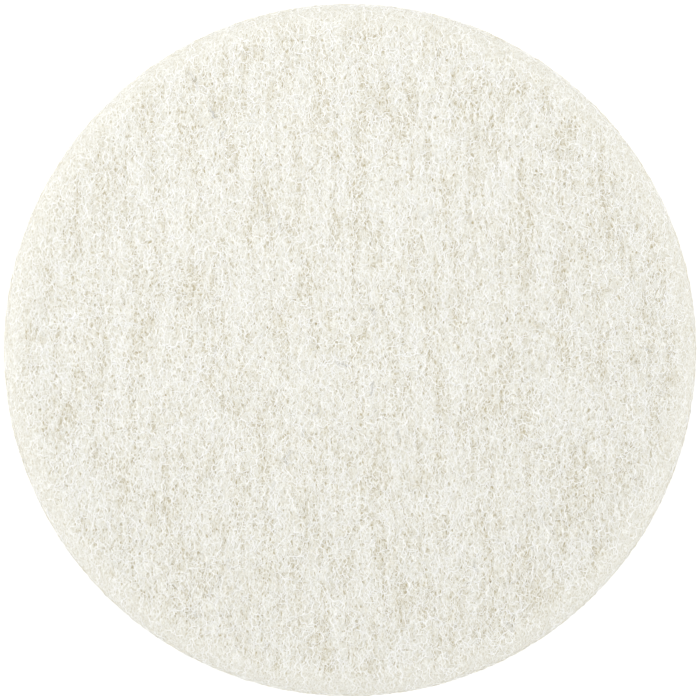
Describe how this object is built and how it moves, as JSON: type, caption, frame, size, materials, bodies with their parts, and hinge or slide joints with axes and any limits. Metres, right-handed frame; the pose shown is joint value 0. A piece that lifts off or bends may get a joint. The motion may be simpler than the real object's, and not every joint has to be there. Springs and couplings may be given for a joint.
{
  "type": "felt polishing disc",
  "caption": "Round white needle-punched felt polishing disc with a plain face, a soft rounded shoulder, a woven inner scrim and a loop back for a hook-faced backing pad.",
  "frame": {"origin": "centre of the back at the tips of the loops, the lowest point of the disc", "axes": "+Z out of the working face along the disc's axis; the felt's fibre runs mostly along Y"},
  "size_m": [0.15, 0.15, 0.012],
  "materials": {
    "felt": "needle-punched crimped white fibre, matt",
    "scrim": "open plain weave, undyed",
    "bond_film": "melted hot-melt film, satin",
    "loop_knit": "brushed warp knit with raised loops"
  },
  "bodies": {
    "root": {"face_felt": "felt", "scrim": "scrim", "back_felt": "felt", "bond_film": "bond_film", "loop_ground": "loop_knit", "loop_pile": "loop_knit"}
  },
  "joints": []
}
